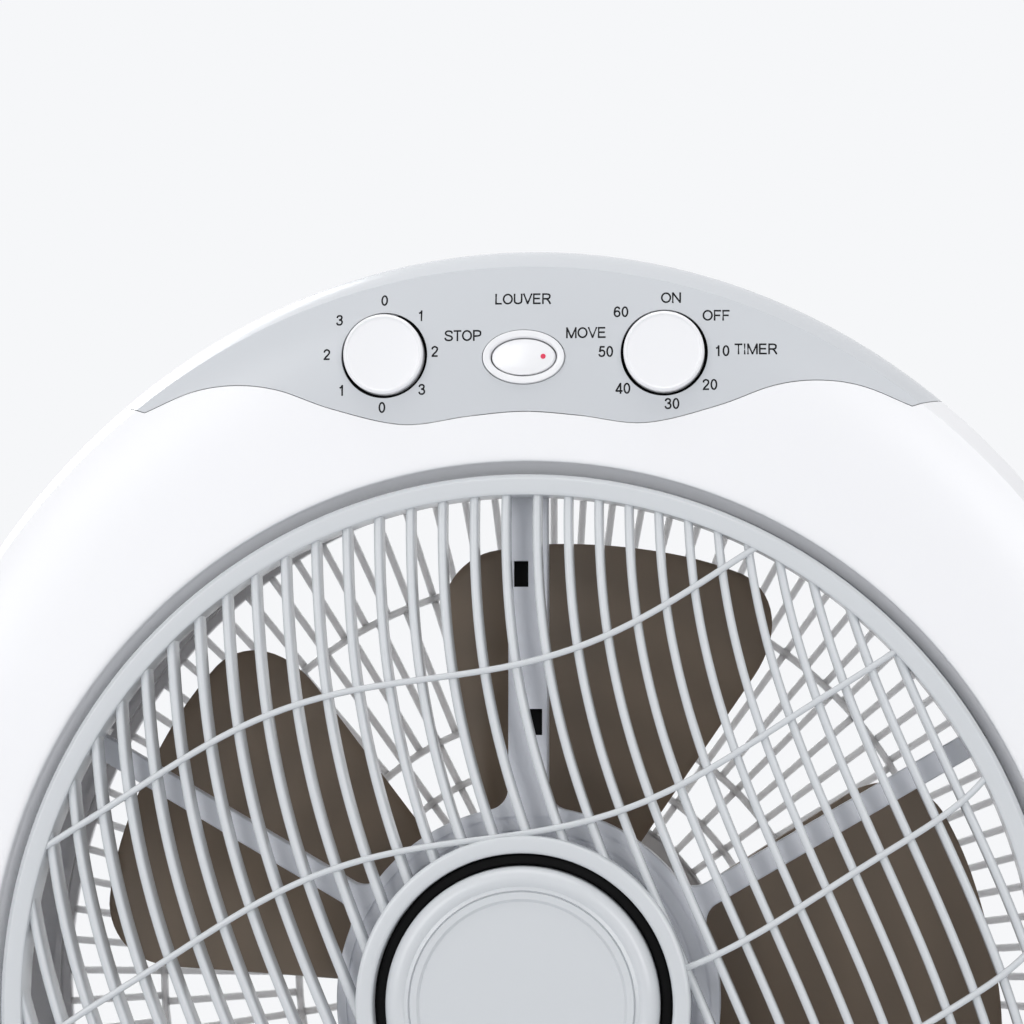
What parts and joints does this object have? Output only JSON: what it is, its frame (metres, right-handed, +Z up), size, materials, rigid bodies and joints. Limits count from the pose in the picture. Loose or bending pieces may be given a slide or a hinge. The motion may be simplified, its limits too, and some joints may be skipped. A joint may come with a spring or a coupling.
{
  "type": "box fan with a turning louver",
  "caption": "Box fan with a rounded white housing, a slowly turning louver wheel in front of its blades, two dials and a rocker switch on top, and two wide feet.",
  "frame": {"origin": "centre of the bounding box's bottom, between the feet on the floor", "axes": "+Z up, -Y towards the fan's front, +X to the right as seen from the front"},
  "size_m": [0.498, 0.2, 0.538],
  "materials": {
    "white_abs": "white moulded ABS, satin gloss",
    "panel_grey_abs": "cool light grey moulded ABS, satin",
    "louver_grey_abs": "light grey moulded ABS, satin",
    "carrier_grey_pp": "bluish grey moulded polypropylene",
    "smoked_blade_pp": "smoked brown-grey polypropylene",
    "black_abs": "black moulded ABS",
    "black_rubber": "black rubber",
    "zinc_steel": "zinc-plated steel",
    "lamination_steel": "stacked steel laminations",
    "cast_aluminium": "die-cast aluminium",
    "enamelled_copper": null,
    "sintered_bronze": null
  },
  "bodies": {
    "housing": {"capacitor": "black_abs", "carrier_screw_1": "zinc_steel", "carrier_screw_2": "zinc_steel", "carrier_screw_3": "zinc_steel", "control_panel": "panel_grey_abs", "cord_gland": "black_abs", "duct_ring": "white_abs", "foot_left": "white_abs", "foot_pad_1": "black_rubber", "foot_pad_2": "black_rubber", "foot_pad_3": "black_rubber", "foot_pad_4": "black_rubber", "foot_right": "white_abs", "front_bearing": "sintered_bronze", "front_coil_ring": "enamelled_copper", "front_motor_housing": "cast_aluminium", "front_shell": "white_abs", "grip_tray": "white_abs", "louver_motor": "zinc_steel", "motor_carrier": "carrier_grey_pp", "motor_screw_1": "zinc_steel", "motor_screw_2": "zinc_steel", "motor_screw_3": "zinc_steel", "motor_screw_4": "zinc_steel", "rear_bearing": "sintered_bronze", "rear_coil_ring": "enamelled_copper", "rear_grille": "white_abs", "rear_motor_housing": "cast_aluminium", "rear_shell": "white_abs", "rocker_bezel": "white_abs", "rocker_switch_body": "black_abs", "shell_screw_1": "zinc_steel", "shell_screw_2": "zinc_steel", "shell_screw_3": "zinc_steel", "shell_screw_4": "zinc_steel", "speed_switch_body": "black_abs", "stator_core": "lamination_steel", "timer_body": "black_abs", "wire_cover": "black_abs"},
    "louver": {"louver_wheel": "louver_grey_abs", "hub_cap": "louver_grey_abs", "hub_trim_ring": "black_abs", "louver_retainer": "black_abs", "louver_shaft": "zinc_steel"},
    "rotor": {"blade_rotor": "smoked_blade_pp", "blade_nut": "smoked_blade_pp", "motor_shaft": "zinc_steel", "rotor_core": "lamination_steel"},
    "speed_dial": {"speed_knob": "white_abs", "speed_spindle": "sintered_bronze"},
    "timer_dial": {"timer_knob": "white_abs", "timer_spindle": "sintered_bronze"},
    "rocker": {"rocker_button": "white_abs"}
  },
  "joints": [
    {"name": "louver_spin", "type": "hinge", "parent": "housing", "child": "louver", "pos_m": [0, -0.074, 0.262], "axis": [0, 1, 0], "continuous": true},
    {"name": "blade_spin", "type": "hinge", "parent": "housing", "child": "rotor", "pos_m": [0, -0.074, 0.262], "axis": [0, 1, 0], "continuous": true},
    {"name": "speed_knob_turn", "type": "hinge", "parent": "housing", "child": "speed_dial", "pos_m": [-0.051, -0.074, 0.4957], "axis": [0, 1, 0], "continuous": true},
    {"name": "timer_knob_turn", "type": "hinge", "parent": "housing", "child": "timer_dial", "pos_m": [0.051, -0.074, 0.4957], "axis": [0, 1, 0], "range_deg": [-45, 270]},
    {"name": "rocker_tilt", "type": "hinge", "parent": "housing", "child": "rocker", "pos_m": [0, -0.0726, 0.4945], "axis": [0, 0, 1], "range_deg": [0, 10]}
  ]
}
